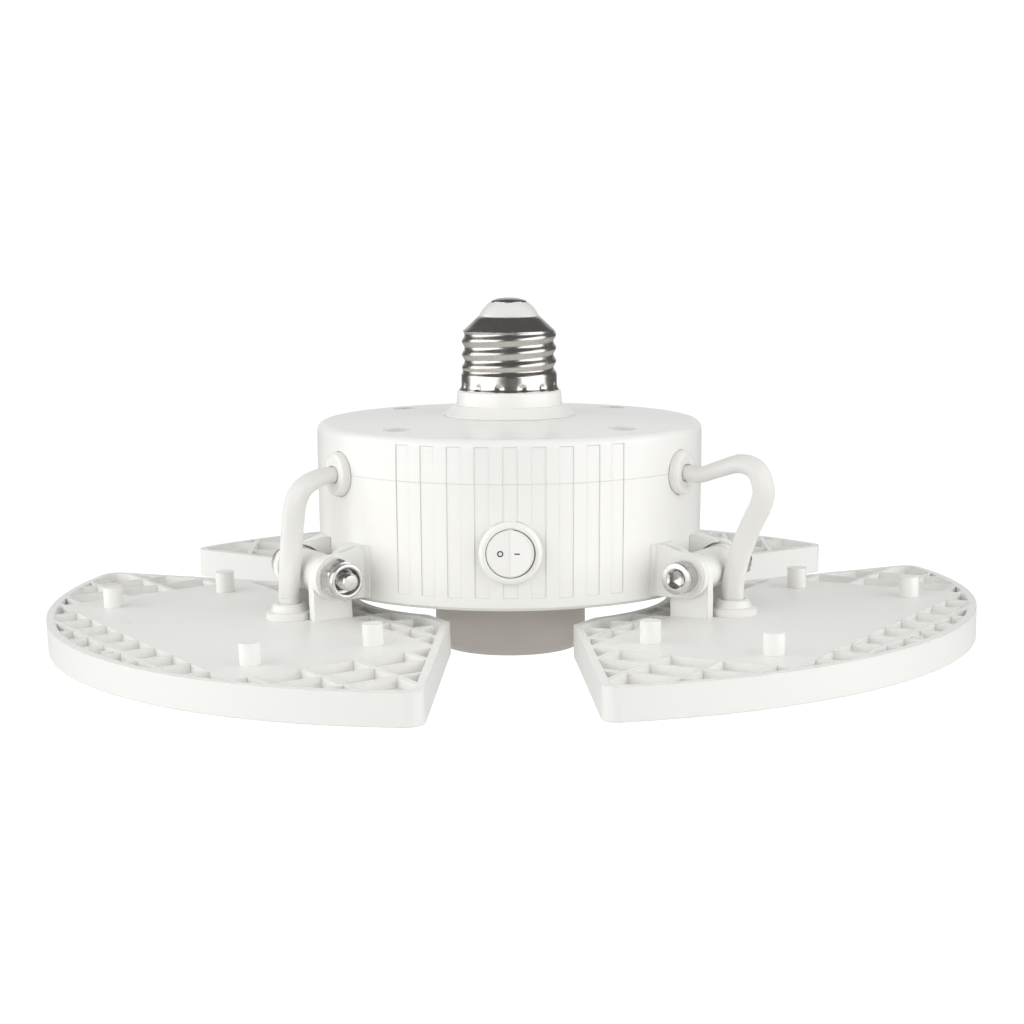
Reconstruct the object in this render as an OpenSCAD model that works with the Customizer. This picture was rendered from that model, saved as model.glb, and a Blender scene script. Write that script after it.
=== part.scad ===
// Deformable garage light: an E26 screw-in driver drum with three hinged LED panels.
// Sizes are in millimetres. Heights are set from the drum's underside, and lift()
// moves the whole lamp so that the rim of the E26 shell lies in the plane z = 0.

/* [Lamp base] */
// Diameter over the crests of the E26 thread
thread_dia = 26.2; // [26:0.1:26.6]
// Height of the rim of the screw shell above the drum's underside
seat_z = 53.2; // [51:0.1:58]
// Length of the base from the rim to the centre contact
base_len = 25.4; // [24:0.1:27]

/* [Drum] */
// Radius of the drum at the parting line
drum_r = 53.4; // [50:0.1:60]
// Height of the drum at its edge
drum_h = 44.8; // [40:0.1:50]
// Height of the parting line between the two shells
part_z = 33.2; // [30:0.1:36]
// Wall of both shells
wall = 2.2; // [1.8:0.1:3]
// Rise of the crowned top from its edge to the collar
crown = 1.4; // [0:0.1:3]
// Radius of the rounded top edge
edge_r = 2.4; // [1:0.1:4]
// Number of shallow flutes between two hinges
flute_count = 9; // [3:2:9]
// Angle from one flute to the next
flute_pitch = 7.95; // [6:0.05:8.5]
// Depth of a flute
flute_depth = 0.25; // [0.15:0.05:0.8]

/* [Switch] */
// Height of the switch on the drum
switch_z = 15.5; // [12:0.1:20]
// Radius of the switch's bezel
bezel_r = 8.25; // [7.5:0.05:9]
// Radius of the rocker
rocker_r = 6.25; // [5.5:0.05:7]
// Turn of the rocker from its middle to either side
rocker_turn = 7; // [4:0.5:9]

/* [Hinge] */
// Distance of the hinge axis from the drum's wall
hinge_out = 7.2; // [6.6:0.1:9]
// Height of the hinge axis above the drum's underside
hinge_z = 7.2; // [6.6:0.1:9]
// Diameter of the hinge bolt
bolt_dia = 4.8; // [4:0.1:5]
// Inner face of each drum ear, from the panel's centre line
ear_in = 10.7; // [10:0.1:12]
// Thickness of a drum ear
ear_t = 2.6; // [2.4:0.1:3.2]
// Radius of an ear's round end
ear_r = 6; // [5.5:0.1:6.5]

/* [Panel] */
// Radius of the panels' outer edge
panel_r = 128.8; // [122:0.2:135]
// Radius of the scooped inner edge
scoop_r = 44; // [42:0.2:46]
// Height of a level panel's top face above the drum's underside
panel_z = -4.3; // [-6:0.1:-4]
// Thickness of a panel
panel_t = 8.35; // [7.6:0.05:10]
// Thickness of the rim
rim_t = 2.2; // [1.8:0.1:3]
// Thickness of a lattice rib
rib_t = 1.4; // [1:0.1:2]
// Depth of the lattice pockets
pocket = 2.6; // [1.5:0.1:3]
// Spacing of the ribs that point outward
rib_pitch = 11.6; // [10:0.1:13]
// Diameter of a stud
stud_dia = 5.3; // [4:0.1:6]
// Height of a stud above the top face
stud_h = 5.7; // [4:0.1:7]
// Tilt of the left, right and rear panel as photographed, outer edge up
tilt = [-2.2, 0.3, 1.3];
// Tilt below level that the hinges allow
droop = 9.7; // [0:0.1:10]

/* [Leads] */
// Width of the flat two-core lead
lead_w = 6; // [5:0.1:6.4]
// Thickness of the lead
lead_t = 4; // [3.4:0.1:4.4]

/* [Centre light] */
// Radius of the centre cup under the drum
cup_r = 21; // [18:0.1:24]
// Depth of the centre cup
cup_h = 18.6; // [14:0.1:22]

/* [Hidden] */
$fn = 72;
eps = 0.01;
fit = 0.1;            // clearance between pieces that are put together
run = 0.06;           // radial clearance of a turning fit
panel_az = [-150, -30, 90];
front = [1, -1, 0];   // side of each panel's centre line that its gland is on

// Lamp base
pitch = 25.4 / 7;
thread_amp = 0.38;
thread_mid = thread_dia / 2 - thread_amp;
shell_t = 0.35;
skirt_r = thread_mid + 0.55;
thread_z0 = seat_z + 4.6;
thread_z1 = seat_z + 16.2;
shoulder_z = seat_z + 20.3;
contact_z = seat_z + base_len;
insulator_r = 8.35;
dome_r = 9;               // radius of the insulator's dome
contact_r = 4.9;
spigot_r = skirt_r - shell_t - fit;

// Drum
draft = 0.5;
floor_t = 2.4;
collar_r = 18.2;
collar_z = drum_h + crown;
lip = 2;
lip_t = 1;
post_xy = (drum_r - 11) / sqrt(2);
post_r = 4.7;
head_bore_r = 3.7;
head_bore = 7;
screw_r = 1.2;
screw_bite = 8;           // depth of the case screws' tips below the parting line
board_z = 14;
board_r = drum_r - 19.4;
standoff_xy = (board_r - 4.3) / sqrt(2);
flute_w = 3.85;
flute_z = 3.4;            // foot of the flutes

// Switch
bezel_y = -(drum_r + 1.8);
pad_y = -(drum_r - 0.4);
pivot_y = bezel_y + 1.3;
sleeve_r = 7;
sleeve_y = bezel_y + 9.5;

// Hinge
hinge_r = drum_r + hinge_out;
bolt_r = bolt_dia / 2;
head_r = 0.885 * bolt_dia;
head_h = bolt_dia + 0.2;
bolt_proud = 1.9;         // the bolt's end beyond its nut
nut_af = bolt_dia + 4.7;
nut_h = bolt_dia + 1.5;
nut_collar = 1.5;         // height of the round collar on the nut
boss_t = 0.4;
ear_slope = 15.3;         // slope of an ear's upper edge
ear_flat = 1;             // level stretch of that edge at the wall
ear_root = 1;             // bevel where an ear's outer face meets the wall
ear_arc = ear_r - 0.04;   // radius at which an ear's straight edges meet its round end
ear_knee = [drum_r + ear_flat, hinge_z + ear_arc * cos(ear_slope)
    + (hinge_r + ear_arc * sin(ear_slope) - drum_r - ear_flat) * tan(ear_slope)];
ear_slot = [0.9, 2.4];    // width and depth of the coring slot in an ear's upper edge
ear_skin = 0.8;           // wall outside that slot
ear_out = ear_in + ear_t;
grip = ear_out + boss_t;
knuckle_r = ear_r - 0.5;
cheek_out = ear_in - fit;
cheek_t = 3.2;
swing_r = ear_r + 0.1;     // room kept free round the knuckle
gusset_in = 5.8;
gusset_u = hinge_r - 1.1;

// Panel, in its own frame: x outward, y along the hinge axis, z = 0 at the top face
side_in = [38.3, 33.7];
side_out = [78.5, 95];
side_dir = (side_out - side_in) / norm(side_out - side_in);
side_nrm = [side_dir[1], -side_dir[0]];
corner_r = 4;
deck = [56, 111.1, 5 * rib_pitch];
cross_ribs = [50, 56, 64.1, 78.1, 92.2, 106.2, 111.1, 120.5];
web = 1.4;
board_t = 1;
led_h = 0.7;
lens_t = 1.2;
studs = [[67.1, 46.4], [100.7, 46.4]];
led_pitch = [12.5, 15.4];

// Lead, gland and grommet
gland_z = 33.1;
gland_off = 1.3;          // toward the front from the panel's centre line
gland_r = 6;
gland_t = 2.6;
neck_r = 3.9;
gland_seat = sqrt(pow(drum_r, 2) - pow(gland_off + gland_r, 2)) - 0.1;
gland_face = gland_seat + gland_t;
gland_foot_r = 5.4;
gland_foot = sqrt(pow(drum_r - wall - lip_t, 2) - pow(gland_off + gland_foot_r, 2)) - 0.1;
grommet_u = hinge_r + 7.8;
grommet_r = 6.6;
grommet_neck = 4.4;
lead_gap = 0.2;
// Route of each lead before the tilt: out from the hinge axis, along it, up, twist
route = [
    [[-10.6, 1.3, 33.1, 0], [-5.4, 1.3, 33.1, 0], [-2.8, 1.3, 32.9, -5], [0, 1.3, 32.1, -15],
     [3.4, 1.2, 30.2, -30], [5.4, 0.9, 26.9, -45], [6, 0.6, 22.6, -60], [6.7, 1, 18, -60],
     [7.8, 2.2, 13, -50], [8.4, 2.6, 8.6, -40], [8.4, 1.8, 5, -30], [7.9, 0.3, 2, -30],
     [7.8, 0, 0.5, -30], [7.8, 0, -3.4, -30]],
    [[-10.6, -1.3, 33.1, 0], [-5.2, -1.3, 33.1, 0], [-1.1, -1.4, 32.8, 8], [4.3, -1.5, 34.6, 15],
     [10.5, -1.5, 36.4, 25], [15.1, -1.4, 34.8, 35], [17, -1.3, 30.1, 45], [16.4, -1.1, 26, 55],
     [14.2, -0.8, 21.6, 60], [11.4, -0.4, 15.8, 60], [9.2, -0.1, 9.6, 60],
     [8, 0, 4.6, 60], [7.8, 0, 0.5, 60], [7.8, 0, -3.4, 60]],
    [[-10.6, 0, 33.1, 0], [-3.6, 0, 33.1, 0], [0.8, 0, 33.6, 0], [5.8, 0, 34.8, 0],
     [10.8, 0, 35, 0], [14.4, 0, 32.6, 0], [15.4, 0, 28, 0], [14.2, 0, 22.4, 0],
     [11.6, 0, 16.2, 0], [9.2, 0, 9.8, 0], [8, 0, 4.6, 0], [7.8, 0, 0.5, 0],
     [7.8, 0, -3.4, 0]]];

module lift() {
    translate([0, 0, -seat_z]) children();
}

// Frame of panel i: x outward along its centre line, y along its hinge axis
module station(i) {
    lift() rotate([0, 0, panel_az[i]]) children();
}

// Frame of the panel itself, tilted about its hinge, with z = 0 at its top face
module on_panel(i) {
    station(i) translate([hinge_r, 0, hinge_z]) rotate([0, -tilt[i], 0])
        translate([-hinge_r, 0, panel_z - hinge_z]) children();
}

// Frame of the switch: z points out of the drum, y stays up
module on_switch() {
    lift() translate([0, pivot_y, switch_z]) rotate([90, 0, 0]) children();
}

// Frame of gland i: z points out along the lead
module on_gland(i) {
    station(i) translate([0, front[i] * gland_off, gland_z])
        rotate([0, 90, 0]) rotate([0, 0, 90]) children();
}

module four_posts(d) {
    for (x = [-d, d], y = [-d, d]) translate([x, y, 0]) children();
}

module stadium(w, t) {
    square([w - t, t], center = true);
    for (s = [-1, 1]) translate([s * (w - t) / 2, 0]) circle(d = t);
}

// ---------------------------------------------------------------- lamp base

module contact() {
    color("silver") lift() translate([0, 0, contact_z - 1.2]) {
        cylinder(r = contact_r, h = 0.7);
        translate([0, 0, 0.7]) cylinder(r1 = contact_r, r2 = contact_r - 1.4, h = 0.5);
    }
}

module insulator() {
    color("white") lift() rotate_extrude() difference() {
        intersection() {
            translate([0, shoulder_z - sqrt(dome_r * dome_r - insulator_r * insulator_r)]) circle(r = dome_r);
            translate([0, shoulder_z]) square([insulator_r - fit, contact_z - 1.2 - shoulder_z]);
        }
        translate([0, shoulder_z - eps]) square([5.6, 1.4]);
    }
}

function thread_at(z) = thread_mid + thread_amp * cos(360 * (z - thread_z0 - 1.3) / pitch);
thread_pts = [for (z = [thread_z0 : pitch / 12 : thread_z1]) [thread_at(z), z]];

module shell_profile(t) {
    polygon(concat([[0, seat_z], [skirt_r + 0.6 - t, seat_z], [skirt_r + 0.45 - t, seat_z + 0.5],
        [skirt_r - t, seat_z + 1.3], [skirt_r - t, thread_z0 - 0.5]],
        [for (p = thread_pts) [p[0] - t, p[1]]],
        [[thread_mid - t, shoulder_z - 3.9], [insulator_r + 0.15 - 0.4 * t, shoulder_z - 0.6 * t],
         [0, shoulder_z - 0.6 * t]]));
}

module screw_shell() {
    color("silver") lift() rotate_extrude() difference() {
        shell_profile(0);
        translate([0, -eps]) shell_profile(shell_t);
        square([insulator_r - 0.6, 2 * shoulder_z]);
    }
}

module collar() {
    color("white") lift() rotate_extrude() difference() {
        polygon([[0, collar_z], [collar_r, collar_z], [collar_r, collar_z + 0.3],
            [collar_r - 2.8, collar_z + 2.9], [collar_r - 3.5, collar_z + 3],
            [collar_r - 3.8, seat_z - 0.4], [collar_r - 4.2, seat_z], [spigot_r, seat_z],
            [spigot_r, thread_z0 - 0.8], [0, thread_z0 - 0.8]]);
        translate([0, collar_z - eps]) square([spigot_r - 2.4, base_len]);
    }
}

// --------------------------------------------------------------------- drum

// Outline of the drum's section, drawn in by t for the inside
module drum_section(t) {
    r = drum_r - t;
    top = drum_h - t;
    rr = max(edge_r - t, 0.4);
    polygon([[0, t], [r - draft - 0.8, t], [r - draft, t + 0.8], [r, part_z],
        [r, top - rr], [r - rr, top], [collar_r + 2, top + crown - 0.1],
        [collar_r - 1, top + crown], [0, top + crown]]);
    intersection() {
        translate([r - rr, top - rr]) circle(r = rr);
        translate([r - rr, top - rr]) square(rr);
    }
}

module flutes() {
    half = (flute_count - 1) / 2;
    floor_r = drum_r - flute_depth;
    foot_r = floor_r - draft * (part_z - flute_z) / (part_z - 0.8);
    for (s = [0 : 2], k = [-half : half])
        rotate([0, 0, -90 + 120 * s + k * flute_pitch])
            translate([0, flute_w / 2, 0]) rotate([90, 0, 0]) linear_extrude(flute_w)
                polygon([[foot_r, flute_z], [floor_r, part_z], [floor_r, drum_h - 2],
                    [drum_r + 3, drum_h - 2], [drum_r + 3, flute_z]]);
}

module gland_seats() {
    for (i = [0 : 2]) rotate([0, 0, panel_az[i]])
        translate([0, front[i] * gland_off, gland_z]) rotate([0, 90, 0]) {
            translate([0, 0, drum_r - wall - 4.5]) cylinder(r = neck_r + fit, h = 12);
            translate([0, 0, gland_seat]) cylinder(r = gland_r + fit, h = 8);
        }
}

module upper_shell() {
    color("white") lift() difference() {
        union() {
            rotate_extrude() difference() {
                drum_section(0);
                drum_section(wall);
                square([2 * drum_r, part_z + eps]);
                square([drum_r - wall + lip_t + fit, part_z + lip + fit]);
                square([12, 2 * drum_h]);
            }
            four_posts(post_xy) translate([0, 0, part_z + fit])
                cylinder(r = post_r, h = drum_h - part_z - 1.2);
        }
        four_posts(post_xy) {
            translate([0, 0, drum_h + crown - head_bore]) cylinder(r = head_bore_r, h = 20);
            cylinder(r = screw_r + 0.4, h = 2 * drum_h);
        }
        flutes();
        gland_seats();
    }
}

module case_screws() {
    color("silver") lift() four_posts(post_xy) translate([0, 0, drum_h + crown - head_bore]) {
        difference() {
            cylinder(r = 2.8, h = 2);
            for (a = [0, 90]) rotate([0, 0, a]) translate([-1.6, -0.4, 1]) cube([3.2, 0.8, 2]);
        }
        length = drum_h + crown - head_bore - part_z + screw_bite;
        translate([0, 0, -length]) cylinder(r = screw_r, h = length + eps);
    }
}

// One drum ear's side view: a web, level at the wall and then sloping, that ends round
// about the hinge bolt
module ear_side() {
    translate([hinge_r, hinge_z]) circle(r = ear_r);
    polygon([[drum_r - 5, hinge_z - ear_arc], [hinge_r, hinge_z - ear_arc], [hinge_r, hinge_z],
        [hinge_r + ear_arc * sin(ear_slope), hinge_z + ear_arc * cos(ear_slope)],
        ear_knee, [drum_r - 5, ear_knee[1]]]);
}

// Side view of the coring slot, which follows an ear's upper edge down from its knee
module slot_side() {
    start = ear_knee - [0.3, ear_slot[1]];
    end_u = hinge_r - 1.5;
    polygon([start, [start[0], ear_knee[1] + 1], [end_u, ear_knee[1] + 1],
        [end_u, start[1] - (end_u - start[0]) * tan(ear_slope)]]);
}

module ears() {
    for (i = [0 : 2]) rotate([0, 0, panel_az[i]]) for (s = [0, 1]) mirror([0, s, 0]) difference() {
        union() {
            translate([0, ear_out, 0]) rotate([90, 0, 0]) linear_extrude(ear_t) ear_side();
            translate([hinge_r, ear_out - eps, hinge_z]) rotate([-90, 0, 0])
                cylinder(r = ear_r - 0.6, h = boss_t + eps);
            gusset();
            intersection() {
                translate([0, ear_out + ear_root, 0]) rotate([90, 0, 0])
                    linear_extrude(2 * ear_root) ear_side();
                linear_extrude(drum_h) polygon([[drum_r - 4, ear_out - 0.5], [drum_r - 1.1, ear_out - 0.5],
                    [drum_r - 1.1, ear_out], [drum_r - 2, ear_out + ear_root],
                    [drum_r - 4, ear_out + ear_root]]);
            }
        }
        translate([0, ear_out - ear_skin, 0]) rotate([90, 0, 0]) linear_extrude(ear_slot[0]) slot_side();
    }
}

// Inner root of an ear: it narrows toward the hinge and is hollowed round the knuckle
module gusset() {
    difference() {
        intersection() {
            translate([0, ear_out - 0.5, 0]) rotate([90, 0, 0]) linear_extrude(ear_out) ear_side();
            linear_extrude(drum_h) polygon([[drum_r - 4, gusset_in], [drum_r - 0.4, gusset_in],
                [gusset_u, ear_in - 1.6], [gusset_u, ear_out], [drum_r - 4, ear_out]]);
        }
        translate([hinge_r, ear_in, hinge_z]) rotate([90, 0, 0]) cylinder(r = swing_r, h = 2 * ear_in);
        translate([hinge_r, 0, hinge_z]) rotate([0, droop + 1, 0])
            translate([-knuckle_r - 0.4, 0, -2 * hinge_z])
                cube([2 * knuckle_r + 0.8, ear_in, 2 * hinge_z]);
    }
}

module lower_shell() {
    color("white") lift() difference() {
        union() {
            difference() {
                union() {
                    rotate_extrude() intersection() {
                        drum_section(0);
                        square([2 * drum_r, part_z]);
                    }
                    ears();
                }
                rotate_extrude() intersection() {
                    drum_section(wall);
                    square([2 * drum_r, part_z + 5]);
                }
                flutes();
            }
            rotate_extrude() translate([drum_r - wall, part_z - 6]) {
                square([lip_t, 6 + lip]);
                polygon([[-1, 4], [0.2, 0], [0.2, 6 + lip], [-1, 6 + lip]]);
            }
            four_posts(post_xy) translate([0, 0, 1]) cylinder(r = post_r - 0.4, h = part_z - 1);
            four_posts(standoff_xy) translate([0, 0, 1]) cylinder(r = 3, h = board_z - 1);
        }
        four_posts(post_xy) translate([0, 0, part_z - screw_bite - 4]) cylinder(r = screw_r + 0.05, h = 20);
        four_posts(standoff_xy) translate([0, 0, board_z - 8]) cylinder(r = screw_r + 0.05, h = 20);
        for (i = [0 : 2]) rotate([0, 0, panel_az[i]]) translate([hinge_r, 0, hinge_z])
            rotate([90, 0, 0]) cylinder(r = bolt_r + run, h = 3 * grip, center = true);
        gland_seats();
        cylinder(r = 3, h = 10, center = true);
        translate([0, 0, switch_z]) rotate([90, 0, 0]) {
            cylinder(r = sleeve_r + fit, h = 2 * drum_r);
            translate([0, 0, -pad_y]) cylinder(r = bezel_r + fit, h = 20);
        }
    }
}

module driver_board() {
    color("tan") lift() translate([0, 0, board_z]) difference() {
        cylinder(r = board_r, h = 1.6);
        four_posts(standoff_xy) cylinder(r = screw_r + 0.3, h = 5, center = true);
    }
}

module board_screws() {
    color("silver") lift() four_posts(standoff_xy) translate([0, 0, board_z + 1.6]) {
        cylinder(r = 2.6, h = 1.6);
        translate([0, 0, -8]) cylinder(r = screw_r, h = 8 + eps);
    }
}

module transformer() {
    color("gold") lift() translate([-2, 6, board_z + 1.6]) {
        for (z = [0, 12]) translate([-8, -9, z]) cube([16, 18, 2]);
        translate([-4.5, -6, 1]) cube([9, 12, 12]);
        for (s = [-1, 1]) translate([s * 8 - 1.5, -6, 2.1]) cube([3, 12, 9.8]);
    }
}

module capacitors() {
    color("black") lift() translate([0, 0, board_z + 1.6]) {
        translate([16, 4, 0]) cylinder(r = 5, h = 16);
        translate([16, -10, 0]) cylinder(r = 4, h = 12);
        translate([-26, -6, 0]) cube([9, 15, 11]);
        translate([-16, -16, 0]) cube([11, 6, 9]);
    }
}

// ------------------------------------------------------------------- switch

module switch_bezel() {
    rim = -bezel_y + pivot_y;
    color("white") on_switch() difference() {
        rotate_extrude() polygon([[rocker_r + 0.2, rim], [bezel_r - 0.9, rim],
            [bezel_r - 0.2, rim - 0.4], [bezel_r, rim - 1], [bezel_r, pivot_y - pad_y],
            [sleeve_r, pivot_y - pad_y], [sleeve_r, rim - 9.5], [rocker_r + 0.2, rim - 9.5]]);
        rotate([90, 0, 0]) cylinder(r = 0.8 + run, h = 2 * (sleeve_r - 0.2), center = true);
    }
}

module switch_body() {
    color("dimgray") on_switch() translate([0, 0, -8.2]) mirror([0, 0, 1]) {
        cylinder(r = sleeve_r, h = 5.5);
        for (x = [-4, 0, 4]) translate([x - 0.4, -2.4, 5.4]) cube([0.8, 4.8, 6]);
    }
}

module switch_rocker() {
    color("white") on_switch() rotate([0, -rocker_turn, 0]) {
        difference() {
            intersection() {
                sphere(r = rocker_r + 0.12);
                translate([0, 0, -3.6]) cylinder(r = rocker_r, h = 8);
            }
            for (s = [-1, 1]) rotate([0, -s * rocker_turn, 0])
                translate([s > 0 ? 0 : -20, -10, 1.25]) cube([20, 20, 10]);
        }
        rotate([90, 0, 0]) cylinder(r = 0.8, h = 2 * (sleeve_r - 0.4), center = true);
    }
}

// ------------------------------------------------------------- centre light

module centre_base() {
    color("white") lift() mirror([0, 0, 1]) difference() {
        cylinder(r = cup_r - 1.5 - fit, h = 6);
        translate([0, 0, -eps]) cylinder(r = 3, h = 7);
        for (a = [30 : 120 : 270]) rotate([0, 0, a]) translate([13, 0, 2]) cylinder(r = 1.5, h = 5);
    }
}

module centre_board() {
    color("lightgray") lift() translate([0, 0, -6 - board_t]) difference() {
        cylinder(r = cup_r - 1.8, h = board_t);
        cylinder(r = 1.5, h = 5, center = true);
    }
}

module centre_leds() {
    color("khaki") lift() for (ring = [[8, 6.5], [14, 14]], k = [1 : ring[0]])
        rotate([0, 0, 360 * k / ring[0]]) translate([ring[1] - 1.4, -1.75, -6 - board_t - led_h])
            cube([2.8, 3.5, led_h]);
}

module centre_cup() {
    color("lightgray") lift() mirror([0, 0, 1]) rotate_extrude() difference() {
        cup_section(0);
        cup_section(1.5);
        translate([-eps, -1]) square([cup_r - 1.5, 1 + 2]);
    }
}

module cup_section(t) {
    rr = 3.2 - t;
    square([cup_r - t, cup_h - 3.2]);
    square([cup_r - 3.2, cup_h - t]);
    intersection() {
        translate([cup_r - 3.2, cup_h - 3.2]) circle(r = rr);
        translate([cup_r - 3.2, cup_h - 3.2]) square(rr);
    }
}

// ------------------------------------------------------------ glands, leads

module glands() {
    color("white") for (i = [0 : 2]) on_gland(i) difference() {
        rotate_extrude() polygon([[0, gland_foot - 1.6], [gland_foot_r - 0.5, gland_foot - 1.6],
            [gland_foot_r, gland_foot - 0.8], [gland_foot_r, gland_foot], [neck_r, gland_foot],
            [neck_r, gland_seat], [gland_r - 0.2, gland_seat],
            [gland_r, gland_seat + 0.2], [gland_r, gland_face - 1],
            [gland_r - 0.3, gland_face - 0.3], [gland_r - 1.1, gland_face], [0, gland_face]]);
        linear_extrude(2 * drum_r) stadium(lead_w + 2 * lead_gap, lead_t + 2 * lead_gap);
    }
}

module grommet(i) {
    color("white") on_panel(i) translate([grommet_u, 0, 0]) difference() {
        rotate_extrude() polygon([[0, -1.2], [grommet_neck, -1.2], [grommet_neck, 0],
            [grommet_r, 0], [grommet_r, 1.5], [grommet_r - 0.4, 1.9], [5.2, 2.1],
            [4.4, 3.8], [3.9, 4], [0, 4]]);
        translate([0, 0, -5]) rotate([0, 0, 90 - twist_end(i)])
            linear_extrude(20) stadium(lead_w + 2 * lead_gap, lead_t + 2 * lead_gap);
    }
}

function twist_end(i) = route[i][len(route[i]) - 1][3];

// Catmull-Rom point between knots k and k + 1 of a list
function knot(p, k) = p[min(max(k, 0), len(p) - 1)];
function curve(p, k, t) = 0.5 * (2 * knot(p, k) + (knot(p, k + 1) - knot(p, k - 1)) * t
    + (2 * knot(p, k - 1) - 5 * knot(p, k) + 4 * knot(p, k + 1) - knot(p, k + 2)) * t * t
    + (3 * knot(p, k) - knot(p, k - 1) - 3 * knot(p, k + 1) + knot(p, k + 2)) * t * t * t);
function unit(v) = v / norm(v);

// Lowers and turns a route point with the panel the more, the nearer it is to the panel
function share(z) = min(max((gland_z - 6 - z) / (gland_z - 6 - hinge_z), 0), 1);
function tilted(p, a) = let (s = a * share(p[2]), x = p[0], z = p[2] - hinge_z)
    [hinge_r + x * cos(s) - z * sin(s), p[1], hinge_z + x * sin(s) + z * cos(s), p[3]];

steps = 3;
sides = 12;
function route_pts(i) = let (p = [for (q = route[i]) tilted(q, tilt[i])])
    concat([for (k = [0 : len(p) - 2], t = [0 : steps - 1]) curve(p, k, t / steps)],
        [p[len(p) - 1]]);
// Outline of the flat lead: two round edges joined by flats
function lead_pt(k) = let (a = 360 * (k + 0.5) / sides)
    [(lead_w - lead_t) / 2 * (sin(a) > 0 ? 1 : -1) + lead_t / 2 * sin(a), lead_t / 2 * cos(a)];
function ring(p, k) = let (n = len(p), a = p[max(k - 1, 0)], b = p[min(k + 1, n - 1)],
    d = unit([b[0] - a[0], b[1] - a[1], b[2] - a[2]]),
    side = unit(cross(d, [0.02, 0, 1] - d * (d[2] + 0.02 * d[0]))),
    s = abs(d[2]) > 0.97 ? unit(cross(d, cross([0, -1, 0], d))) : side,
    w = unit(cross(d, cross([0, -1, 0], d))), h = cross(d, w), c = cos(p[k][3]), e = sin(p[k][3]))
    [for (j = [0 : sides - 1]) let (q = lead_pt(j))
        [p[k][0], p[k][1], p[k][2]] + w * (q[0] * c - q[1] * e) + h * (q[0] * e + q[1] * c)];

module lead(i) {
    p = route_pts(i);
    n = len(p);
    pts = [for (k = [0 : n - 1]) each ring(p, k)];
    skin = [for (k = [0 : n - 2], j = [0 : sides - 1]) let (m = (j + 1) % sides)
        each [[k * sides + j, k * sides + m, (k + 1) * sides + m],
              [k * sides + j, (k + 1) * sides + m, (k + 1) * sides + j]]];
    ends = [[for (j = [sides - 1 : -1 : 0]) j], [for (j = [0 : sides - 1]) (n - 1) * sides + j]];
    color("whitesmoke") station(i) polyhedron(points = pts, faces = concat(skin, ends));
}

// -------------------------------------------------------------------- hinge

module hinge_bolts() {
    color("silver") for (i = [0 : 2]) station(i) translate([hinge_r, 0, hinge_z]) rotate([90, 0, 0]) {
        translate([0, 0, grip]) difference() {
            union() {
                cylinder(r = head_r, h = head_h - 0.25);
                translate([0, 0, head_h - 0.25]) cylinder(r1 = head_r, r2 = head_r - 0.25, h = 0.25);
            }
            translate([0, 0, head_h / 2]) cylinder(d = 0.8 * bolt_dia / cos(30), h = head_h, $fn = 6);
            translate([0, 0, head_h - 0.5])
                cylinder(r1 = 0.47 * bolt_dia, r2 = 0.56 * bolt_dia, h = 0.5 + eps);
        }
        translate([0, 0, -grip - nut_h - bolt_proud]) {
            translate([0, 0, 0.5])
                cylinder(r = bolt_r, h = 2 * grip + nut_h + bolt_proud - 0.5 + eps);
            cylinder(r1 = bolt_r - 0.5, r2 = bolt_r, h = 0.5 + eps);
        }
    }
}

module hinge_nuts() {
    color("silver") for (i = [0 : 2]) station(i) translate([hinge_r, grip, hinge_z]) rotate([-90, 0, 0])
        difference() {
            union() {
                intersection() {
                    cylinder(d = nut_af / cos(30), h = nut_h - nut_collar, $fn = 6);
                    cylinder(r1 = nut_af / 2 + 3, r2 = nut_af / 2 + 0.2, h = nut_h - nut_collar);
                }
                cylinder(r = nut_af / 2 - 0.5, h = nut_h - 0.5);
                cylinder(r = nut_af / 2 - 0.9, h = nut_h);
            }
            cylinder(r = bolt_r + 0.05, h = 20, center = true);
            translate([0, 0, nut_h - 1]) cylinder(r = bolt_r + 1, h = 2);
        }
}

// ------------------------------------------------------------------- panels

// Distance from point p along dir to the circle of radius r about the origin
function reach(p, r) = let (b = p * side_dir) -b + sqrt(b * b - p * p + r * r);
// Centre of the round outer corner of an outline drawn in by t
function corner_c(t) = let (p = side_in + side_nrm * (t + corner_at(t)))
    p + side_dir * reach(p, panel_r - t - corner_at(t));
function corner_at(t) = max(corner_r - t, 0.8);
// The +y side of the outline: along the straight side, then round the corner
function side_pts(t) = let (q = side_in + side_nrm * t, c = corner_c(t), r = corner_at(t),
    a0 = atan2(-side_nrm[1], -side_nrm[0]), a1 = atan2(c[1], c[0]))
    concat([[side_in[0] + t, q[1] + side_dir[1] * (side_in[0] + t - q[0]) / side_dir[0]]],
        [for (k = [0 : 6]) c + r * [cos(a0 + (a1 - a0) * k / 6), sin(a0 + (a1 - a0) * k / 6)]],
        [[panel_r + 20, c[1] + r * sin(a1)]]);

// Plan of a panel drawn in by t: two arcs about the lamp's axis and two straight sides
module panel_plan(t) {
    p = side_pts(t);
    n = len(p);
    intersection() {
        difference() {
            circle(r = panel_r - t, $fn = 180);
            circle(r = scoop_r + t);
        }
        polygon(concat(p, [for (k = [n - 1 : -1 : 0]) [p[k][0], -p[k][1]]]));
    }
}

module lattice() {
    translate([deck[0], -deck[2]]) square([deck[1] - deck[0], 2 * deck[2]]);
    for (k = [-7 : 7]) translate([scoop_r, k * rib_pitch - rib_t / 2]) square([panel_r, rib_t]);
    for (u = cross_ribs) translate([u - rib_t / 2, -panel_r]) square([rib_t, 2 * panel_r]);
}

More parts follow.
